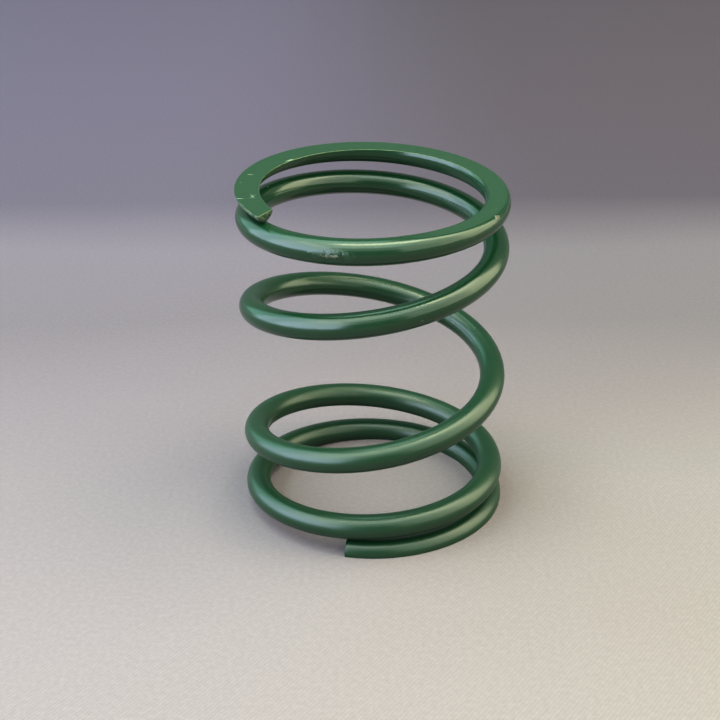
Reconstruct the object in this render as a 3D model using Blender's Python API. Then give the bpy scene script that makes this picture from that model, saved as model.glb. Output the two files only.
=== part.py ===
"""Helical compression spring of round wire, wound right-handed, with closed and ground ends.

Metres, +Z up. The spring's axis is the Z axis and the lower ground face lies in the plane Z = 0.
The upper ground face slopes a little, and follows the last turn round.
The one wire is divided along its length into stretches, because each moves a different distance
when the spring is squeezed. Distances below are in millimetres, and positions along the wire are
in turns from the lower tip.
"""

import math

import bmesh
import bpy
import numpy as np

MM = 0.001

# Driving dimensions
WIRE_D = 5.6  # wire diameter
OUTER_D = 60.0  # outside diameter of the coils
FREE_HEIGHT = 77.0  # from the lower ground face to the highest point of the upper one, unloaded
UPPER_FACE_RISE = (-0.028, 0.040)  # of the upper ground face along +X and +Y: it is not quite level
TURNS = 4.88  # in all, tip to tip
TIP_AZIMUTH = -103.0  # degrees, of the lower tip, anticlockwise from +X seen from above
LOWER_TIP_DEPTH = 0.3  # of the wire's centre within the lower ground face, at the tip
UPPER_TIP_DEPTH = -0.85  # the upper tip is ground past its centre
END_TURNS = 1.2  # at each end, that keep their shape when the spring is squeezed
# pitch of the wire, in millimetres a turn, at equal steps from the lower tip to the upper tip
PITCH = (0.2, 4.0, 11.5, 4.9, 23.6, 28.0, 36.1, 28.0, 27.0, 8.0, 5.4, 11.2, -4.2)

# How the wire is divided
ACTIVE_STRETCHES = 34
CUT_GAP = 0.3  # between one stretch and the next

# Mesh fineness
SIDES = 16
STATION_DEG = 7.5

WIRE_R = WIRE_D / 2
COIL_R = (OUTER_D - WIRE_D) / 2
GREEN = (0.012, 0.085, 0.03, 1.0)


def upper_face(x, y):
    """Height of the upper ground face's plane, which touches FREE_HEIGHT at the coil's outside."""
    middle = FREE_HEIGHT - OUTER_D / 2 * math.hypot(*UPPER_FACE_RISE)
    return middle + UPPER_FACE_RISE[0] * x + UPPER_FACE_RISE[1] * y


def azimuth_at(turns):
    return math.radians(TIP_AZIMUTH) + 2 * math.pi * turns


def smooth_pitch(turns):
    """The pitch at each position, by a monotone cubic through PITCH."""
    step = TURNS / (len(PITCH) - 1)
    value = np.array(PITCH)
    slope = np.diff(value) / step
    tangent = np.zeros(len(PITCH))
    same = slope[1:] * slope[:-1] > 0
    tangent[1:-1][same] = 2 * (slope[1:] * slope[:-1])[same] / (slope[1:] + slope[:-1])[same]
    k = np.clip((turns / step).astype(int), 0, len(PITCH) - 2)
    t = turns / step - k
    return (
        (1 + 2 * t) * (1 - t) ** 2 * value[k]
        + t * (1 - t) ** 2 * tangent[k] * step
        + t * t * (3 - 2 * t) * value[k + 1]
        - t * t * (1 - t) * tangent[k + 1] * step
    )


GRID = np.linspace(0, TURNS, 4001)
GRID_PITCH = smooth_pitch(GRID)
GRID_RISE = np.concatenate([[0], np.cumsum((GRID_PITCH[1:] + GRID_PITCH[:-1]) / 2 * GRID[1])])
TIP = azimuth_at(TURNS)
UPPER_TIP_HEIGHT = upper_face(COIL_R * math.cos(TIP), COIL_R * math.sin(TIP)) - UPPER_TIP_DEPTH
# the pitch is scaled so that the wire's centre ends exactly there
FIT = (UPPER_TIP_HEIGHT - LOWER_TIP_DEPTH) / GRID_RISE[-1]


def height(turns):
    return LOWER_TIP_DEPTH + FIT * float(np.interp(turns, GRID, GRID_RISE))


def pitch(turns):
    return FIT * float(np.interp(turns, GRID, GRID_PITCH))


def section_angles(cut):
    """Angles of a section's corners from the middle of the arc that a plane cuts off, cut each side of it."""
    even = 2 * math.pi / SIDES
    held = 2  # corners each side of the middle that lie on the cut
    nominal = [even * (i if i <= SIDES // 2 else i - SIDES) for i in range(SIDES)]
    edge = held * even
    if cut <= edge:
        return nominal
    angles = []
    for a in nominal:
        size = abs(a)
        if size <= edge:
            size *= cut / edge
        else:
            size = cut + (size - edge) * (math.pi - cut) / (math.pi - edge)
        angles.append(math.copysign(size, a))
    return angles


def section(turns, azimuth):
    """Corners of the wire's section in the vertical plane through the axis, ground flat by the end planes."""
    z = height(turns)
    tall = WIRE_R / math.cos(math.atan2(pitch(turns), 2 * math.pi * COIL_R))
    outward = (math.cos(azimuth), math.sin(azimuth))
    low = z - tall < 0
    if low:
        down, rise, room = 1, 0.0, z
    else:
        rise = UPPER_FACE_RISE[0] * outward[0] + UPPER_FACE_RISE[1] * outward[1]
        down, room = -1, upper_face(COIL_R * outward[0], COIL_R * outward[1]) - z
    # the plane's line in this section rises outwards, which turns the arc that it cuts off
    turned = math.atan2(rise * WIRE_R, tall)
    cut = math.acos(min(1.0, room / math.hypot(tall, rise * WIRE_R)))
    corners = []
    for a in section_angles(cut):
        radius = COIL_R + WIRE_R * math.sin(a + turned) * down
        up = z - down * tall * math.cos(a + turned)
        x, y = radius * outward[0], radius * outward[1]
        corners.append((x, y, max(up, 0.0) if low else min(up, upper_face(x, y))))
    if not low:
        # the same corner stays on the same side of the wire along the whole length
        corners = corners[SIDES // 2 :] + corners[: SIDES // 2]
    return corners


def stretch(name, first, last, trim_first, trim_last, material):
    """One closed length of wire from first to last, in turns."""
    back = CUT_GAP / 2 / (2 * math.pi * COIL_R)
    first += back if trim_first else 0
    last -= back if trim_last else 0
    count = max(2, math.ceil((last - first) * 360 / STATION_DEG))
    bm = bmesh.new()
    rings = []
    for i in range(count + 1):
        turns = first + (last - first) * i / count
        points = section(turns, azimuth_at(turns))
        rings.append([bm.verts.new([c * MM for c in p]) for p in points])
    for a, b in zip(rings, rings[1:]):
        for i in range(SIDES):
            j = (i + 1) % SIDES
            bm.faces.new((a[i], a[j], b[j], b[i]))
    for ring, order in ((rings[0], -1), (rings[-1], 1)):
        middle = bm.verts.new(sum((v.co for v in ring), ring[0].co * 0) / SIDES)
        for i in range(SIDES):
            pair = (ring[i], ring[(i + 1) % SIDES])[::order]
            bm.faces.new((*pair, middle))
    bmesh.ops.recalc_face_normals(bm, faces=bm.faces)
    mesh = bpy.data.meshes.new(name)
    bm.to_mesh(mesh)
    bm.free()
    mesh.materials.append(material)
    node = bpy.data.objects.new(name, mesh)
    bpy.context.scene.collection.objects.link(node)


def paint():
    material = bpy.data.materials.new("green_paint")
    material.use_nodes = True
    shader = material.node_tree.nodes["Principled BSDF"]
    shader.inputs["Base Color"].default_value = GREEN
    shader.inputs["Roughness"].default_value = 0.35
    return material


for old in list(bpy.data.objects):
    bpy.data.objects.remove(old)

green = paint()
stretch("bottom_end_coil", 0, END_TURNS, False, True, green)
active = TURNS - 2 * END_TURNS
for n in range(ACTIVE_STRETCHES):
    start = END_TURNS + active * n / ACTIVE_STRETCHES
    end = END_TURNS + active * (n + 1) / ACTIVE_STRETCHES
    stretch(f"active_wire_{n + 1:02d}", start, end, True, True, green)
stretch("top_end_coil", TURNS - END_TURNS, TURNS, True, False, green)
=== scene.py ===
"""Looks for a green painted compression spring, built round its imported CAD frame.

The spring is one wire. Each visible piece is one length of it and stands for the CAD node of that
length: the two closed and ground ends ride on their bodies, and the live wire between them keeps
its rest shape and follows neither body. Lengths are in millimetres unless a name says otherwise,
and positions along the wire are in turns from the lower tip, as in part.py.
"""

import math

import bpy
import numpy as np
from mathutils import Matrix, Vector


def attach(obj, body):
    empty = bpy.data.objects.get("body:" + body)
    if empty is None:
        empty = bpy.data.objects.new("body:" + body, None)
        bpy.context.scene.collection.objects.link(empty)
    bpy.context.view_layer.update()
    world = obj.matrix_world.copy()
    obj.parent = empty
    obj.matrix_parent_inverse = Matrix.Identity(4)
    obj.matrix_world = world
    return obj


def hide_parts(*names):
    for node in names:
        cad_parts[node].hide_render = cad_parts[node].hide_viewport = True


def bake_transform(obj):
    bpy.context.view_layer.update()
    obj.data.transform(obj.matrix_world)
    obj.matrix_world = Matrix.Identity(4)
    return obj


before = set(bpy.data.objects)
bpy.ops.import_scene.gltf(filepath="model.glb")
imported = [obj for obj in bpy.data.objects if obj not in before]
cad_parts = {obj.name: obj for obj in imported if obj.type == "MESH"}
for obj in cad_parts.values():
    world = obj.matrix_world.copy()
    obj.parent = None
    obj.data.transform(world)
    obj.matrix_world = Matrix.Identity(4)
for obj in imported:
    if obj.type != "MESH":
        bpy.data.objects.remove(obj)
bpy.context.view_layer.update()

MM = 0.001

# The wire, as the CAD model has it
WIRE_D = 5.6
OUTER_D = 60.0
FREE_HEIGHT = 77.0  # from the lower ground face to the highest point of the upper one
UPPER_FACE_RISE = (-0.028, 0.040)  # of the upper ground face along +X and +Y
TURNS = 4.88
TIP_AZIMUTH = -103.0  # degrees, of the lower tip
LOWER_TIP_DEPTH = 0.3  # of the wire's centre within the ground face, at the tip
UPPER_TIP_DEPTH = -0.85
END_TURNS = 1.2  # at each end, that keep their shape
PITCH = (0.2, 4.0, 11.5, 4.9, 23.6, 28.0, 36.1, 28.0, 27.0, 8.0, 5.4, 11.2, -4.2)
WIRE_R = WIRE_D / 2
COIL_R = (OUTER_D - WIRE_D) / 2

# Mesh fineness
SIDES = 96
FLAT_STEPS = 4  # each side of the middle of a ground flat
ROUND_STEPS = 4  # on the rounded edge of a flat
STATION_DEG = 1.2
LEAST_FLAT = math.radians(7)  # below this half-angle a flat has no corners of its own
FLAT_FADE = math.radians(40)  # half-angle over which a narrow flat starts to look ground
LAYOUT_FADE = (0.90, 1.14)  # turns from a tip, where the corners spread out evenly again

# Detail that the CAD model leaves out
SHARP_EDGE = 0.13  # radius on the edges of the ground flats
SOFT_EDGE = 1.1  # radius there where the upper flat runs out
SOFTER_EDGE = (0.45, 0.75)  # turns from the upper tip, between which the radius grows
UPPER_SKEW = 0.48  # how far the upper tip's cut leans along the wire, for each millimetre outwards
SKEW_TURNS = 0.03  # over which the sections behind that cut turn square to the wire
TIP_ROUND = 0.16  # how far a tip's end face bulges
# A tip's end face, ring by ring: share of the section's size, share of the bulge, and how far in
# from the rim it counts as, from 0 to 1
TIP_RINGS = ((0.98, 0.6, 0.5), (0.93, 1.0, 0.8), (0.75, 1.0, 1.0), (0.5, 1.0, 1.0), (0.25, 1.0, 1.0))


# ---- the wire's shape -------------------------------------------------------------------------


def upper_face(x, y):
    """Height of the upper ground face's plane, which touches FREE_HEIGHT at the coil's outside."""
    middle = FREE_HEIGHT - OUTER_D / 2 * math.hypot(*UPPER_FACE_RISE)
    return middle + UPPER_FACE_RISE[0] * x + UPPER_FACE_RISE[1] * y


def azimuth(turns):
    return math.radians(TIP_AZIMUTH) + 2 * math.pi * turns


def smooth_pitch(turns):
    """The pitch at each position, by a monotone cubic through PITCH."""
    step = TURNS / (len(PITCH) - 1)
    value = np.array(PITCH)
    slope = np.diff(value) / step
    tangent = np.zeros(len(PITCH))
    same = slope[1:] * slope[:-1] > 0
    tangent[1:-1][same] = 2 * (slope[1:] * slope[:-1])[same] / (slope[1:] + slope[:-1])[same]
    k = np.clip((turns / step).astype(int), 0, len(PITCH) - 2)
    t = turns / step - k
    return (
        (1 + 2 * t) * (1 - t) ** 2 * value[k]
        + t * (1 - t) ** 2 * tangent[k] * step
        + t * t * (3 - 2 * t) * value[k + 1]
        - t * t * (1 - t) * tangent[k + 1] * step
    )


GRID = np.linspace(0, TURNS, 4001)
GRID_PITCH = smooth_pitch(GRID)
GRID_RISE = np.concatenate([[0], np.cumsum((GRID_PITCH[1:] + GRID_PITCH[:-1]) / 2 * GRID[1])])
TIP = azimuth(TURNS)
UPPER_TIP_HEIGHT = upper_face(COIL_R * math.cos(TIP), COIL_R * math.sin(TIP)) - UPPER_TIP_DEPTH
FIT = (UPPER_TIP_HEIGHT - LOWER_TIP_DEPTH) / GRID_RISE[-1]


def height(turns):
    return LOWER_TIP_DEPTH + FIT * np.interp(turns, GRID, GRID_RISE)


def rise_angle(turns):
    return np.arctan2(FIT * np.interp(turns, GRID, GRID_PITCH), 2 * math.pi * COIL_R)


def wire_direction(turns):
    """Unit vector along the wire, upwards."""
    a = azimuth(turns)
    along = np.array([-math.sin(a), math.cos(a), math.tan(float(rise_angle(turns)))])
    return along / np.linalg.norm(along)


def smoothstep(x):
    x = np.clip(x, 0, 1)
    return x * x * (3 - 2 * x)


def flat_corners(beta, edge_round):
    """Across and down places of half a ground flat and its rounded edge, from the flat's middle out.

    beta is the half-angle where the rounded edge runs into the wire's round, of radius WIRE_R.
    """
    inner = WIRE_R - edge_round
    flat = inner * math.sin(beta)
    down = inner * math.cos(beta) + edge_round
    across = [flat * i / FLAT_STEPS for i in range(FLAT_STEPS + 1)]
    depth = [down] * len(across)
    for i in range(1, ROUND_STEPS + 1):
        a = beta * i / ROUND_STEPS
        across.append(flat + edge_round * math.sin(a))
        depth.append(inner * math.cos(beta) + edge_round * math.cos(a))
    return np.array(across), np.array(depth)


def section(turns):
    """(out, up, ground, edge) of the wire's section at one place: offsets from its centre line,
    how far each corner is on the ground flat, and how far on its rounded edge, from 0 to 1."""
    z = float(height(turns))
    tall = 1 / math.cos(float(rise_angle(turns)))
    low = turns < TURNS / 2
    if low:
        room, lean = z / tall, 0.0
    else:
        # the plane's line in this section rises outwards, so the flat leans with it
        outward = (math.cos(azimuth(turns)), math.sin(azimuth(turns)))
        rise = UPPER_FACE_RISE[0] * outward[0] + UPPER_FACE_RISE[1] * outward[1]
        room = (upper_face(COIL_R * outward[0], COIL_R * outward[1]) - z) / math.hypot(tall, rise)
        lean = math.atan2(rise, tall)
    from_tip = turns if low else TURNS - turns
    softer = 0.0
    if not low:
        softer = float(smoothstep((from_tip - SOFTER_EDGE[0]) / (SOFTER_EDGE[1] - SOFTER_EDGE[0])))
    edge_round = SHARP_EDGE + (SOFT_EDGE - SHARP_EDGE) * softer
    cos_beta = (room - edge_round) / (WIRE_R - edge_round)
    beta = math.acos(max(-1.0, min(1.0, cos_beta)))
    shaped = max(beta, LEAST_FLAT)
    half = FLAT_STEPS + ROUND_STEPS
    across, depth = flat_corners(shaped, edge_round)
    ground = np.zeros(half + 1)
    edge = np.zeros(half + 1)
    if beta > LEAST_FLAT:
        # narrow flats fade out
        wide = float(smoothstep((beta - LEAST_FLAT) / FLAT_FADE))
        ground[: FLAT_STEPS + 1] = wide
        bulge = np.sin(np.linspace(0, math.pi, ROUND_STEPS + 1))
        edge[FLAT_STEPS:] = (bulge * 0.5 + 0.5) * wide * (1 - softer)
    else:
        depth = np.minimum(np.sqrt(WIRE_R**2 - across**2), room)
    # the round part of the section
    n = np.arange(half + 1, SIDES // 2 + 1)
    angle = shaped + (n - half) * (math.pi - shaped) / (SIDES // 2 - half)
    across = np.concatenate([across, WIRE_R * np.sin(angle)])
    depth = np.concatenate([depth, WIRE_R * np.cos(angle)])
    ground = np.concatenate([ground, np.zeros(len(n))])
    edge = np.concatenate([edge, np.zeros(len(n))])
    # evenly spread corners, away from the flats
    even = smoothstep((from_tip - LAYOUT_FADE[0]) / (LAYOUT_FADE[1] - LAYOUT_FADE[0]))
    if even > 0:
        own = np.arctan2(across, depth)
        own = own + even * (2 * math.pi * np.arange(SIDES // 2 + 1) / SIDES - own)
        across, depth = WIRE_R * np.sin(own), WIRE_R * np.cos(own)
    # the other side mirrors this one, and the upper end's section is turned upside down
    out = np.concatenate([across, -across[-2:0:-1]])
    up = -np.concatenate([depth, depth[-2:0:-1]])
    ground = np.concatenate([ground, ground[-2:0:-1]])
    edge = np.concatenate([edge, edge[-2:0:-1]])
    if not low:
        out, up, ground, edge = (np.roll(v, SIDES // 2) for v in (-out, -up, ground, edge))
        lean *= 1 - even
        c, s = math.cos(lean), math.sin(lean)
        out, up = out * c - up * s, out * s + up * c
    return out, up * tall, ground, edge


def tip_skew(turns):
    """How far a section leans along the wire, for each millimetre outwards, near the upper tip."""
    return UPPER_SKEW * max(0.0, 1 - (TURNS - turns) / SKEW_TURNS)


def wire_rings(turns):
    """Corners of every section, (stations, SIDES, 3), and their facts: place on the straightened
    wire, share of ground flat, share of rounded edge."""
    turns = np.asarray(turns, float)
    points = np.empty((len(turns), SIDES, 3))
    wire = np.empty((len(turns), SIDES, 3))
    ground = np.empty((len(turns), SIDES))
    edge = np.empty((len(turns), SIDES))
    for k, t in enumerate(turns):
        out, up, ground[k], edge[k] = section(t)
        around = azimuth(t) + tip_skew(t) * out / COIL_R
        radius = COIL_R + out
        x, y = radius * np.cos(around), radius * np.sin(around)
        points[k] = np.stack([x, y, height(t) + up], 1)
        wire[k, :, 0] = t * 2 * math.pi * COIL_R
        wire[k, :, 1] = out
        wire[k, :, 2] = up
    return points, wire, ground, edge


class WireSurface:
    """Corners, faces and facts of one length of wire, while its mesh is put together."""

    def __init__(self, turns):
        points, wire, ground, edge = wire_rings(turns)
        self.turns = turns
        self.verts = points.reshape(-1, 3)
        self.facts = {"wire": wire.reshape(-1, 3), "ground": ground.reshape(-1), "edge": edge.reshape(-1)}
        self.facts["tip"] = np.zeros(len(self.verts))
        base = SIDES * np.arange(len(turns) - 1)[:, None]
        a = (base + np.arange(SIDES)).reshape(-1)
        b = (base + (np.arange(SIDES) + 1) % SIDES).reshape(-1)
        self.quads = [np.stack([b, a, a + SIDES, b + SIDES], 1)]
        self.tip_fans = [np.zeros((0, 3), int)]
        self.hidden_fans = [np.zeros((0, 3), int)]

    def add(self, points, wire, ground, edge, tip):
        """Adds corners and returns their numbers."""
        first = len(self.verts)
        self.verts = np.concatenate([self.verts, points])
        for key, values in (("wire", wire), ("ground", ground), ("edge", edge)):
            self.facts[key] = np.concatenate([self.facts[key], values])
        self.facts["tip"] = np.concatenate([self.facts["tip"], np.full(len(points), tip)])
        return first + np.arange(len(points))

    def close(self, row, at_start, is_tip):
        """Closes one section: with a softly rounded end face at a tip, else with a flat hidden one."""
        loop = row * SIDES + np.arange(SIDES)
        ring = self.verts[loop]
        wire, ground, edge = (self.facts[key][loop] for key in ("wire", "ground", "edge"))
        middle = ring.mean(0)
        if is_tip:
            bulge = wire_direction(self.turns[row]) * (-TIP_ROUND if at_start else TIP_ROUND)
            for share, push, depth_in in TIP_RINGS:
                points = middle + (ring - middle) * share + bulge * push
                new = self.add(points, wire, ground, edge, depth_in)
                quads = np.stack([loop, np.roll(loop, -1), np.roll(new, -1), new], 1)
                self.quads.append(quads if at_start else quads[:, ::-1])
                loop = new
            middle = middle + bulge
        nothing = np.zeros(1)
        centre = self.add(middle[None], wire.mean(0)[None], nothing, nothing, float(is_tip))
        fan = np.stack([loop, np.roll(loop, -1), np.full(SIDES, centre[0])], 1)
        fan = fan if at_start else fan[:, ::-1]
        (self.tip_fans if is_tip else self.hidden_fans).append(fan)

    def normals(self):
        """Shading normals from every face but the hidden ones, each face counting by its area."""
        total = np.zeros((len(self.verts), 3))
        quads, fans = np.concatenate(self.quads), np.concatenate(self.tip_fans)
        diagonals = [self.verts[quads[:, k + 2]] - self.verts[quads[:, k]] for k in range(2)]
        sides = [self.verts[fans[:, k]] - self.verts[fans[:, 0]] for k in (1, 2)]
        for faces, area in ((quads, np.cross(*diagonals)), (fans, np.cross(*sides))):
            for k in range(faces.shape[1]):
                np.add.at(total, faces[:, k], area)
        return total / np.maximum(np.linalg.norm(total, axis=1, keepdims=True), 1e-12)


def store(mesh, name, values):
    """Keeps one value, or one vector, for each corner of a mesh."""
    kind, field = ("FLOAT_VECTOR", "vector") if values.ndim == 2 else ("FLOAT", "value")
    attribute = mesh.attributes.new(name, kind, "POINT")
    attribute.data.foreach_set(field, values.astype(np.float32).ravel())


def length_of_wire(name, first, last, tip_first=False, tip_last=False):
    """A closed mesh of the wire from first to last. tip_first and tip_last say which end is a tip."""
    count = max(2, math.ceil((last - first) * 360 / STATION_DEG))
    step = (last - first) / count
    # a station past each end that isn't a tip, so that the shading runs on into the next piece
    extra_first, extra_last = int(not tip_first), int(not tip_last)
    turns = first + step * np.arange(-extra_first, count + extra_last + 1)
    surface = WireSurface(turns)
    surface.close(extra_first, True, tip_first)
    surface.close(len(turns) - 1 - extra_last, False, tip_last)
    normals = surface.normals()

    # the extra stations are left out of the mesh
    keep = np.ones(len(surface.verts), bool)
    if extra_first:
        keep[:SIDES] = False
    if extra_last:
        keep[(len(turns) - 1) * SIDES : len(turns) * SIDES] = False
    index = np.cumsum(keep) - 1
    quads = np.concatenate(surface.quads)
    faces = index[quads[keep[quads].all(1)]].tolist()
    faces += index[np.concatenate(surface.tip_fans)].tolist()
    hidden_from = len(faces)
    faces += index[np.concatenate(surface.hidden_fans)].tolist()
    mesh = bpy.data.meshes.new(name)
    mesh.from_pydata((surface.verts[keep] * MM).tolist(), [], faces)
    for key in ("ground", "edge", "tip", "wire"):
        store(mesh, key, surface.facts[key][keep])
    mesh.shade_smooth()
    # the hidden end faces shade like the sides at their rim, so that a seam hardly shows
    corners = normals[keep][np.array([corner.vertex_index for corner in mesh.loops])]
    for polygon in mesh.polygons[hidden_from:]:
        for i in polygon.loop_indices:
            if not corners[i].any():
                corners[i] = polygon.normal
    mesh.normals_split_custom_set(corners.tolist())
    piece = bpy.data.objects.new(name, mesh)
    bpy.context.scene.collection.objects.link(piece)
    return piece


# ---- materials --------------------------------------------------------------------------------


class Graph:
    """Short ways to add nodes to one material."""

    def __init__(self, name):
        self.material = bpy.data.materials.new(name)
        self.material.use_nodes = True
        self.tree = self.material.node_tree
        self.shader = self.tree.nodes["Principled BSDF"]

    def put(self, socket, value):
        if isinstance(value, bpy.types.NodeSocket):
            self.tree.links.new(value, socket)
        else:
            socket.default_value = value

    def add(self, kind, inputs, **settings):
        node = self.tree.nodes.new("ShaderNode" + kind)
        for key, value in settings.items():
            setattr(node, key, value)
        for key, value in inputs.items():
            self.put(node.inputs[key], value)
        return node

    def attribute(self, name, output):
        return self.add("Attribute", {}, attribute_name=name).outputs[output]

    def math(self, operation, a, b):
        return self.add("Math", {0: a, 1: b}, operation=operation).outputs[0]

    def step(self, value, low, high):
        """Smoothly from 0 where value is low to 1 where it is high."""
        inputs = {"Value": value, "From Min": low, "From Max": high}
        return self.add("MapRange", inputs, interpolation_type="SMOOTHSTEP").outputs["Result"]

    def noise(self, vector, scale, detail=2.0, roughness=0.5):
        inputs = {"Vector": vector, "Scale": scale, "Detail": detail, "Roughness": roughness}
        return self.add("TexNoise", inputs).outputs["Fac"]

    def colour(self, share, a, b, blend_type="MIX"):
        inputs = {"Factor": share, "A": a, "B": b}
        return self.add("Mix", inputs, data_type="RGBA", blend_type=blend_type).outputs["Result"]

    def number(self, share, a, b):
        return self.add("Mix", {"Factor": share, "A": a, "B": b}, data_type="FLOAT").outputs["Result"]

    def spot(self, vector, turns, out, up, size, angle):
        """1 inside an ellipsoid on the wire, turned by angle degrees from the wire's direction, else 0."""
        inputs = {
            "Vector": vector,
            "Location": (turns * 2 * math.pi * COIL_R, out, up),
            "Rotation": (0, 0, math.radians(angle)),
            "Scale": size,
        }
        placed = self.add("Mapping", inputs, vector_type="TEXTURE").outputs["Vector"]
        far = self.add("VectorMath", {0: placed}, operation="LENGTH").outputs["Value"]
        return self.step(far, 1.15, 0.75)

    def spots(self, vector, table):
        """1 inside any of a table's spots."""
        total = self.spot(vector, *table[0])
        for values in table[1:]:
            total = self.math("MAXIMUM", total, self.spot(vector, *values))
        return total


# Marks on the paint: place in turns, outwards and up from the wire's centre line, half sizes along,
# across and up in millimetres, and angle in degrees
SCRATCHES = (
    (4.7452, 0.57, -0.16, (0.70, 0.08, 0.8), 75),
    (4.8263, 2.00, -0.56, (0.80, 0.10, 0.8), 105),
    (4.8227, -0.87, -0.59, (1.30, 0.06, 0.8), -10),
    (4.8227, -0.87, -0.59, (1.30, 0.06, 0.8), 40),
    (4.7745, 1.61, -0.29, (0.14, 0.14, 0.8), 0),
    (4.6707, -2.35, 0.10, (1.30, 0.24, 0.6), 4),
)
CHIPS = (
    (4.8560, 2.50, -0.80, (2.6, 0.25, 0.35), 0),
    (4.3071, 1.56, 1.38, (0.26, 0.16, 0.8), 20),
    (4.2528, 0.24, 1.50, (0.28, 0.13, 0.8), 50),
    (4.2266, 0.78, 1.54, (0.30, 0.14, 0.8), 10),
    (4.2181, 0.37, 1.58, (0.24, 0.12, 0.8), 80),
    (3.7111, -0.97, 2.62, (0.20, 0.16, 0.8), 0),
    (3.0888, 2.73, -0.61, (0.30, 0.60, 0.20), 0),
    (4.8790, 2.20, -1.00, (0.60, 0.55, 0.50), 0),
)
BARE = (
    (3.9820, 2.79, 0.10, (0.9, 0.9, 0.28), 0),
    (3.9905, 2.79, 0.02, (1.3, 0.9, 0.26), 0),
    (4.2054, 2.30, 1.45, (0.8, 0.7, 0.6), 0),
)
SCUFF = ((3.9900, 2.70, -0.10, (4.8, 1.6, 1.3), 0),)

# Millimetres along the wire from the lower tip over which the paint grows glossier
GLOSS_RANGE = (250.0, 600.0)
LOWER_ROUGHNESS = 0.29
UPPER_ROUGHNESS = 0.17

# The paint's colours, each from its darkest to its lightest
COAT = ((0.0035, 0.0270, 0.0105, 1), (0.0055, 0.0370, 0.0135, 1))
GROUND_COAT = ((0.0020, 0.0285, 0.0100, 1), (0.0036, 0.0360, 0.0132, 1))
TIP_COAT = ((0.002, 0.016, 0.005, 1), (0.024, 0.082, 0.024, 1))
# and what the marks show
SCUFFED = (0.020, 0.055, 0.026, 1)
# the next colour lightens the ground flats' edges: partly wear, partly a painted highlight
WORN_EDGE_AND_HIGHLIGHT = (0.110, 0.140, 0.050, 1)
TIP_RIM = (0.210, 0.240, 0.120, 1)
CHIPPED = (0.150, 0.180, 0.130, 1)
SCRATCHED = (0.280, 0.330, 0.240, 1)
BARE_STEEL = (0.200, 0.170, 0.140, 1)


def paint_surface(g):
    """What the paint depends on: places on the wire and on its body, its kinds of face, and noises."""
    wire = g.attribute("wire", "Vector")
    along, out, _ = g.add("SeparateXYZ", {0: wire}).outputs
    inputs = {0: g.add("TexCoord", {}).outputs["Object"], 1: (1 / MM, 1 / MM, 1 / MM)}
    return {
        "wire": wire,
        "along": along,
        "out": out,
        "body": g.add("VectorMath", inputs, operation="MULTIPLY").outputs["Vector"],
        "ground": g.attribute("ground", "Fac"),
        "edge": g.attribute("edge", "Fac"),
        "tip": g.attribute("tip", "Fac"),
        "patches": g.noise(wire, 0.11, 3.0),
        "grain": g.noise(wire, 6.0, 3.0, 0.6),
    }


def paint_marks(g, on):
    """Shares of scratches, chips, bare steel, scuffing, and lighter flat edges that are partly wear and
    partly painted highlight, from 0 to 1.
    """
    wire = on["wire"]
    # bare and scuffed areas have ragged outlines
    jitter = g.add("TexNoise", {"Vector": wire, "Scale": 1.7, "Detail": 3.0}).outputs["Color"]
    ragged = g.add("VectorMath", {0: jitter, 1: wire}, operation="ADD").outputs["Vector"]
    ragged = g.add("VectorMath", {0: ragged, 1: (0.5, 0.5, 0.5)}, operation="SUBTRACT").outputs["Vector"]
    # lighter edges of the ground flats, partly wear and partly a painted highlight of the light they
    # catch, stronger on the inner edge
    worn_and_highlight = g.math("MULTIPLY", g.step(on["edge"], 0.55, 0.90), g.step(g.noise(wire, 0.8, 3.0), 0.36, 0.58))
    inside = g.step(on["out"], 1.0, -1.0)
    return {
        "scratches": g.spots(wire, SCRATCHES),
        "chips": g.math("MULTIPLY", g.spots(wire, CHIPS), g.step(g.noise(wire, 2.2), 0.42, 0.56)),
        "bare": g.math("MULTIPLY", g.spots(ragged, BARE), g.step(g.noise(wire, 2.4, 2.0), 0.34, 0.62)),
        "scuff": g.math("MULTIPLY", g.spots(ragged, SCUFF), g.step(g.noise(wire, 0.7, 2.0), 0.38, 0.60)),
        "worn_and_highlight": g.math("MULTIPLY", worn_and_highlight, g.number(inside, 0.35, 1.0)),
    }


def paint_colour(g, on, marks):
    colour = g.colour(on["patches"], *COAT)
    colour = g.colour(on["ground"], colour, g.colour(on["grain"], *GROUND_COAT))
    colour = g.colour(g.math("MULTIPLY", marks["scuff"], 0.30), colour, SCUFFED)
    # painted highlight, with some wear, along the edges of the ground flats
    colour = g.colour(g.math("MULTIPLY", marks["worn_and_highlight"], 0.75), colour, WORN_EDGE_AND_HIGHLIGHT)
    speckle = g.step(g.noise(on["body"], 1.2, 3.0, 0.6), 0.48, 0.64)
    colour = g.colour(g.step(on["tip"], 0.0, 0.5), colour, g.colour(speckle, *TIP_COAT))
    # a pale line along the ground side of a tip's end face
    rim = g.math("MULTIPLY", g.step(on["tip"], 0.0, 0.4), g.step(on["tip"], 0.8, 0.5))
    rim = g.math("MULTIPLY", rim, on["ground"])
    colour = g.colour(g.math("MULTIPLY", rim, 0.9), colour, TIP_RIM)
    colour = g.colour(g.math("MULTIPLY", marks["chips"], 0.6), colour, CHIPPED)
    colour = g.colour(g.math("MULTIPLY", marks["scratches"], 0.8), colour, SCRATCHED)
    return g.colour(g.math("MULTIPLY", marks["bare"], 0.65), colour, BARE_STEEL)


def paint_roughness(g, on, marks):
    rough = g.number(g.step(on["along"], *GLOSS_RANGE), LOWER_ROUGHNESS, UPPER_ROUGHNESS)
    rough = g.math("ADD", rough, g.math("MULTIPLY", on["patches"], 0.08))
    rough = g.number(on["ground"], rough, g.number(on["grain"], 0.42, 0.58))
    rough = g.number(marks["scuff"], rough, 0.36)
    rough = g.number(marks["bare"], rough, 0.55)
    return g.number(on["tip"], rough, 0.48)


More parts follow.
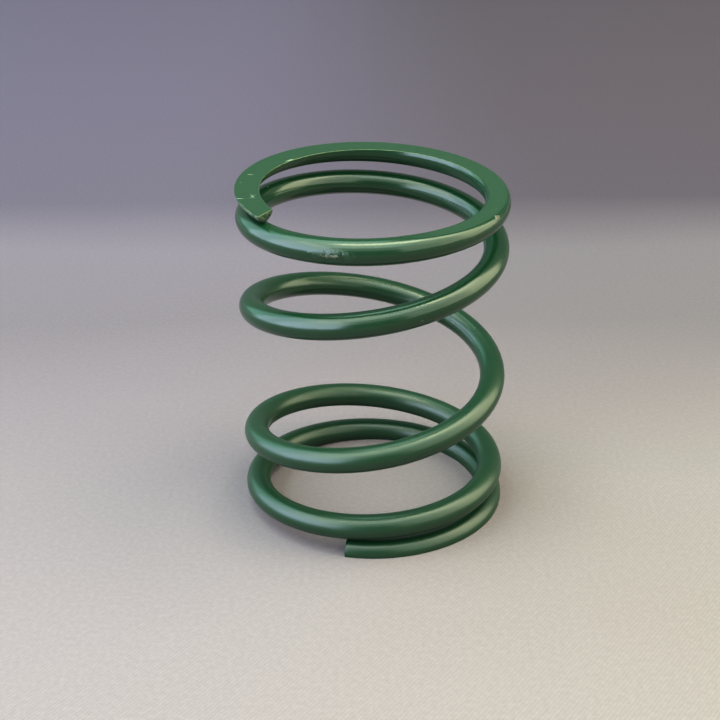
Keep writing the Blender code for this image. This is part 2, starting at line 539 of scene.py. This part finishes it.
def paint_height(g, on, marks):
    """Fine relief, in millimetres: unevenness, orange peel and grain, then the marks."""
    wire = on["wire"]
    damage = g.math("MAXIMUM", marks["scuff"], marks["bare"])
    damage = g.math("MULTIPLY", damage, g.noise(wire, 1.0, 3.0, 0.6))
    tip_lumps = g.math("MULTIPLY", on["tip"], g.noise(on["body"], 1.4, 3.0, 0.6))
    layers = (
        (g.noise(wire, 1.5, 2.0), 0.005),
        (on["grain"], 0.0012),
        (damage, 0.09),
        (marks["scratches"], -0.03),
        (marks["chips"], -0.04),
        (tip_lumps, 0.6),
    )
    total = g.math("MULTIPLY", g.noise(wire, 0.3, 1.0), 0.035)
    for layer, tall in layers:
        total = g.math("ADD", total, g.math("MULTIPLY", layer, tall))
    return total


def green_paint():
    g = Graph("green_paint_film")
    on = paint_surface(g)
    marks = paint_marks(g, on)
    g.put(g.shader.inputs["Base Color"], paint_colour(g, on, marks))
    g.put(g.shader.inputs["Roughness"], paint_roughness(g, on, marks))
    g.shader.inputs["IOR"].default_value = 1.6
    bump = g.add("Bump", {"Height": paint_height(g, on, marks), "Strength": 1.0, "Distance": MM})
    g.put(g.shader.inputs["Normal"], bump.outputs["Normal"])
    return g.material


# ---- the spring -------------------------------------------------------------------------------

ACTIVE = sorted(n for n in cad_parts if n.startswith("active_wire_"))
LIVE_TURNS = TURNS - 2 * END_TURNS


def follow_squeeze(piece):
    """Bakes a length of live wire's placement into its mesh; it follows neither end's body.
    """
    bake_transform(piece)


def dress(piece, paint, node):
    """Paints a piece and lets it stand for its CAD node."""
    piece.data.materials.append(paint)
    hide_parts(node)


def make_spring(paint):
    piece = length_of_wire("lower_end_coil", 0, END_TURNS, tip_first=True)
    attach(piece, "bottom_end")
    dress(piece, paint, "bottom_end_coil")
    for n, node in enumerate(ACTIVE):
        first = END_TURNS + LIVE_TURNS * n / len(ACTIVE)
        last = END_TURNS + LIVE_TURNS * (n + 1) / len(ACTIVE)
        piece = length_of_wire(f"live_wire_{n + 1:02d}", first, last)
        follow_squeeze(piece)
        dress(piece, paint, node)
    piece = length_of_wire("upper_end_coil", TURNS - END_TURNS, TURNS, tip_last=True)
    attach(piece, "top_end")
    dress(piece, paint, "top_end_coil")


make_spring(green_paint())


# ---- floor, lights and camera -----------------------------------------------------------------

LENS = 74.36  # for a sensor 36 mm wide
CAMERA_TARGET = (-3.05, 0.0, 34.3)
CAMERA_DISTANCE = 340.2
CAMERA_ELEVATION = 25.61  # degrees
CAMERA_ROLL = -0.50  # degrees


def make_camera():
    data = bpy.data.cameras.new("camera")
    data.lens = LENS
    data.sensor_width = 36
    data.clip_start = 0.01
    data.clip_end = 50
    camera = bpy.data.objects.new("camera", data)
    e = math.radians(CAMERA_ELEVATION)
    back = Vector((0, -math.cos(e), math.sin(e)))
    camera.location = (Vector(CAMERA_TARGET) + back * CAMERA_DISTANCE) * MM
    turn = (-back).to_track_quat("-Z", "Y").to_matrix().to_4x4()
    roll = Matrix.Rotation(math.radians(CAMERA_ROLL), 4, "Z")
    camera.rotation_euler = (turn @ roll).to_euler()
    bpy.context.scene.collection.objects.link(camera)
    bpy.context.scene.camera = camera


# The floor's colour on the left and on the right, at distances behind the spring's axis in metres: the
# cloth's own colour with painted light and shade, a painted pool of light in front of the spring and
# painted shade further back, where the far rows also hold the backdrop's purple-grey
CLOTH_AND_PAINTED_LIGHT = (
    (-0.10, (0.206, 0.177, 0.192), (0.208, 0.179, 0.180)),
    (-0.05, (0.195, 0.168, 0.186), (0.200, 0.172, 0.173)),
    (0.0, (0.183, 0.157, 0.177), (0.197, 0.172, 0.178)),
    (0.05, (0.162, 0.138, 0.161), (0.159, 0.134, 0.145)),
    (0.10, (0.132, 0.113, 0.136), (0.126, 0.109, 0.122)),
    (0.155, (0.136, 0.116, 0.147), (0.123, 0.106, 0.124)),
    (0.205, (0.094, 0.080, 0.112), (0.071, 0.059, 0.076)),
    (0.32, (0.095, 0.080, 0.118), (0.071, 0.058, 0.074)),
)
CLOTH_SIDE = 0.08  # metres left and right of the axis, where the two sides' colours are reached
TABLE = (0.28, 0.25, 0.26)
TABLE_FROM = (0.20, 0.45)  # metres to either side, over which the cloth gives way to the table
ROOM_FLOOR = (0.10, 0.10, 0.10)
ROOM_FLOOR_FROM = (0.50, 1.00)
FLOOR_HALF = 3.0  # metres


def cloth_and_light_ramp(g, depth, column):
    """The cloth's colour with its painted light and shade, on one side, by depth."""
    near, far = CLOTH_AND_PAINTED_LIGHT[0][0], CLOTH_AND_PAINTED_LIGHT[-1][0]
    share = g.add("MapRange", {"Value": depth, "From Min": near, "From Max": far}).outputs["Result"]
    ramp = g.add("ValToRGB", {"Fac": share})
    ramp.color_ramp.interpolation = "LINEAR"
    while len(ramp.color_ramp.elements) < len(CLOTH_AND_PAINTED_LIGHT):
        ramp.color_ramp.elements.new(0.5)
    for element, row in zip(ramp.color_ramp.elements, CLOTH_AND_PAINTED_LIGHT):
        element.position = (row[0] - near) / (far - near)
        element.color = (*row[column], 1)
    return ramp.outputs["Color"]


def cloth():
    g = Graph("cloth")
    place = g.add("TexCoord", {}).outputs["Object"]
    parts = g.add("SeparateXYZ", {0: place})
    folds = g.noise(place, 9.0, 1.0)
    depth = g.math("ADD", parts.outputs["Y"], g.math("MULTIPLY", g.math("SUBTRACT", folds, 0.5), 0.03))
    side = g.step(parts.outputs["X"], -CLOTH_SIDE, CLOTH_SIDE)
    # the cloth's own colour with painted light and shade, by depth and side
    colour = g.colour(side, cloth_and_light_ramp(g, depth, 1), cloth_and_light_ramp(g, depth, 2))
    aside = g.math("ABSOLUTE", parts.outputs["X"], 0.0)
    colour = g.colour(g.step(aside, *TABLE_FROM), colour, (*TABLE, 1))
    colour = g.colour(g.step(aside, *ROOM_FLOOR_FROM), colour, (*ROOM_FLOOR, 1))
    # the weave: fine diagonal ribs, broken up by threads
    turned = g.add("Mapping", {"Vector": place, "Rotation": (0, 0, math.radians(35))}).outputs["Vector"]
    inputs = {"Vector": turned, "Scale": 400.0, "Distortion": 2.0, "Detail": 1.0, "Detail Scale": 2.0}
    ribs = g.add("TexWave", inputs).outputs["Fac"]
    threads = g.noise(place, 900.0, 2.0, 0.6)
    weave = g.math("ADD", g.math("MULTIPLY", ribs, 0.28), threads)
    shade = g.colour(g.step(weave, 0.3, 1.2), (0.90, 0.90, 0.90, 1), (1.08, 1.08, 1.08, 1))
    g.put(g.shader.inputs["Base Color"], g.colour(1.0, colour, shade, "MULTIPLY"))
    g.shader.inputs["Roughness"].default_value = 0.95
    g.shader.inputs["Specular IOR Level"].default_value = 0.1
    return g.material


def make_floor():
    mesh = bpy.data.meshes.new("floor")
    corners = [(x * FLOOR_HALF, y * FLOOR_HALF, 0) for x, y in ((-1, -1), (1, -1), (1, 1), (-1, 1))]
    mesh.from_pydata(corners, [], [(0, 1, 2, 3)])
    mesh.materials.append(cloth())
    floor = bpy.data.objects.new("floor", mesh)
    bpy.context.scene.collection.objects.link(floor)


# The room's bright surfaces: name, middle, direction it faces, width and height in metres, and
# radiance. The window is on the left, a sunlit wall on the right, and a pale ceiling above.
PANELS = (
    ("window_low", (-1.2, -0.95, 0.24), (1, 0, 0), (2.00, 0.42), (6.4, 7.5, 9.3)),
    ("window_middle", (-1.2, -0.95, 0.70), (1, 0, 0), (2.00, 0.50), (6.1, 7.2, 8.3)),
    ("window_high", (-1.2, -0.95, 1.30), (1, 0, 0), (2.00, 0.70), (6.0, 6.7, 6.9)),
    ("window_back", (-1.2, 0.36, 0.76), (1, 0, 0), (0.62, 1.50), (3.8, 4.7, 5.6)),
    ("window_return", (-1.2, 0.98, 0.90), (1, -0.6, 0), (0.70, 1.50), (1.2, 2.3, 2.1)),
    ("wall_low", (1.2, 0.20, 0.22), (-1, 0, 0), (0.90, 0.44), (4.7, 4.7, 3.3)),
    ("wall_middle", (1.2, 0.20, 0.70), (-1, 0, 0), (0.90, 0.52), (6.6, 6.4, 4.4)),
    ("wall_high", (1.2, 0.20, 1.23), (-1, 0, 0), (0.90, 0.54), (7.5, 7.3, 5.2)),
    ("wall_side", (1.2, -0.55, 0.85), (-1, 0.3, 0), (0.62, 1.40), (3.6, 3.6, 2.8)),
    ("corner", (0.95, -1.30, 0.95), (-0.8, 1, 0), (0.90, 1.40), (2.6, 2.7, 2.2)),
    ("front_high", (-0.1, -1.30, 1.20), (0, 1, 0), (1.60, 0.60), (1.8, 2.0, 1.8)),
    ("ceiling", (-0.35, -0.40, 1.5), (0, 0, -1), (1.70, 1.40), (5.2, 6.0, 5.3)),
    ("ceiling_right", (0.85, 0.15, 1.5), (0, 0, -1), (0.70, 0.90), (9.6, 9.6, 7.1)),
    ("ceiling_strip", (0.02, -0.07, 1.4), (0, 0, -1), (0.92, 0.20), (19.0, 18.5, 11.0)),
    ("ceiling_front", (0.85, -0.70, 1.5), (0, 0, -1), (0.70, 0.80), (3.6, 3.8, 3.2)),
    ("ceiling_back", (-0.60, 0.60, 1.5), (0, 0, -1), (1.30, 0.60), (3.6, 5.2, 4.6)),
)
ROOM_SHADE = (0.58, 0.62, 0.62)  # radiance of everything between the bright surfaces
ROOM_LEVEL = 0.63  # by which all of these are multiplied


def panel(name, middle, facing, size, radiance):
    """A bright flat surface that the camera doesn't see, but the paint reflects."""
    data = bpy.data.lights.new(name, "AREA")
    data.shape = "RECTANGLE"
    data.size, data.size_y = size
    strongest = max(radiance)
    data.energy = 4 * size[0] * size[1] * strongest * ROOM_LEVEL
    data.color = [c / strongest for c in radiance]
    light = bpy.data.objects.new(name, data)
    light.location = middle
    light.rotation_euler = Vector(facing).to_track_quat("-Z", "Y").to_euler()
    light.visible_camera = False
    bpy.context.scene.collection.objects.link(light)


def make_lights():
    for values in PANELS:
        panel(*values)
    world = bpy.data.worlds.new("world")
    bpy.context.scene.world = world
    world.use_nodes = True
    background = world.node_tree.nodes["Background"]
    background.inputs["Color"].default_value = (*ROOM_SHADE, 1)
    background.inputs["Strength"].default_value = ROOM_LEVEL


make_camera()
make_floor()
make_lights()
bpy.context.scene.view_settings.view_transform = "Standard"
bpy.context.scene.view_settings.gamma = 0.8
